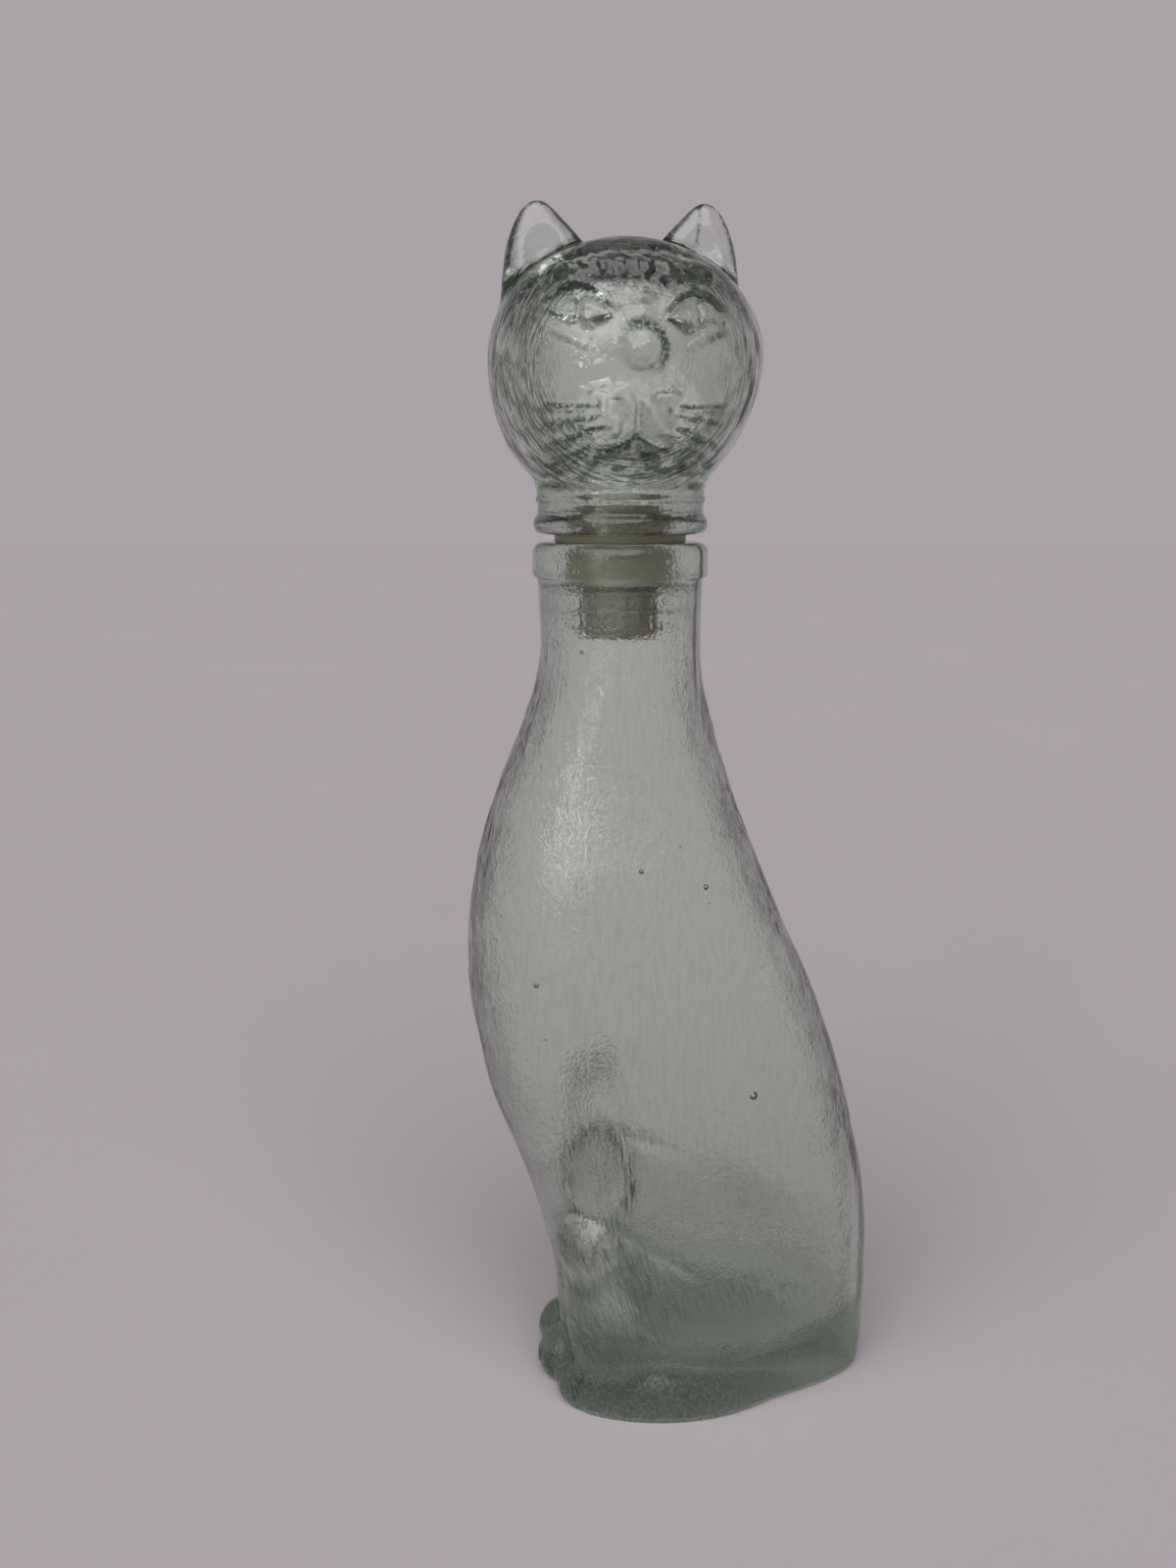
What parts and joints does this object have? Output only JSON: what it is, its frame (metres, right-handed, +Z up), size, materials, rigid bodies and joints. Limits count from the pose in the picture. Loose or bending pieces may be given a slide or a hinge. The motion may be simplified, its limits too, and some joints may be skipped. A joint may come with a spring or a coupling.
{
  "type": "figural liquor decanter",
  "caption": "Tall hollow glass decanter in the form of a sitting cat, closed by a hollow glass cat's-head stopper on a finned plastic plug that lifts out of the neck and turns.",
  "frame": {"origin": "on the table under the bottle, straight below the axis of the neck", "axes": "+Z up along the neck's axis, the cat's chest and paws face -Y, the cat's left side faces +X"},
  "size_m": [0.0699, 0.1138, 0.3195],
  "materials": {
    "clear_glass": "pale green mould-blown glass with fine fur strokes",
    "plug_plastic": "olive-beige translucent moulded plastic"
  },
  "bodies": {
    "bottle": {"cat_bottle": "clear_glass"},
    "plug": {"stopper_plug": "plug_plastic"},
    "head": {"head_stopper": "clear_glass"}
  },
  "joints": [
    {"name": "stopper_lift", "type": "slide", "parent": "bottle", "child": "plug", "axis": [0, 0, 1], "range_m": [0, 0.06]},
    {"name": "head_turn", "type": "hinge", "parent": "plug", "child": "head", "pos_m": [0, 0, 0.2395], "axis": [0, 0, 1], "continuous": true}
  ]
}
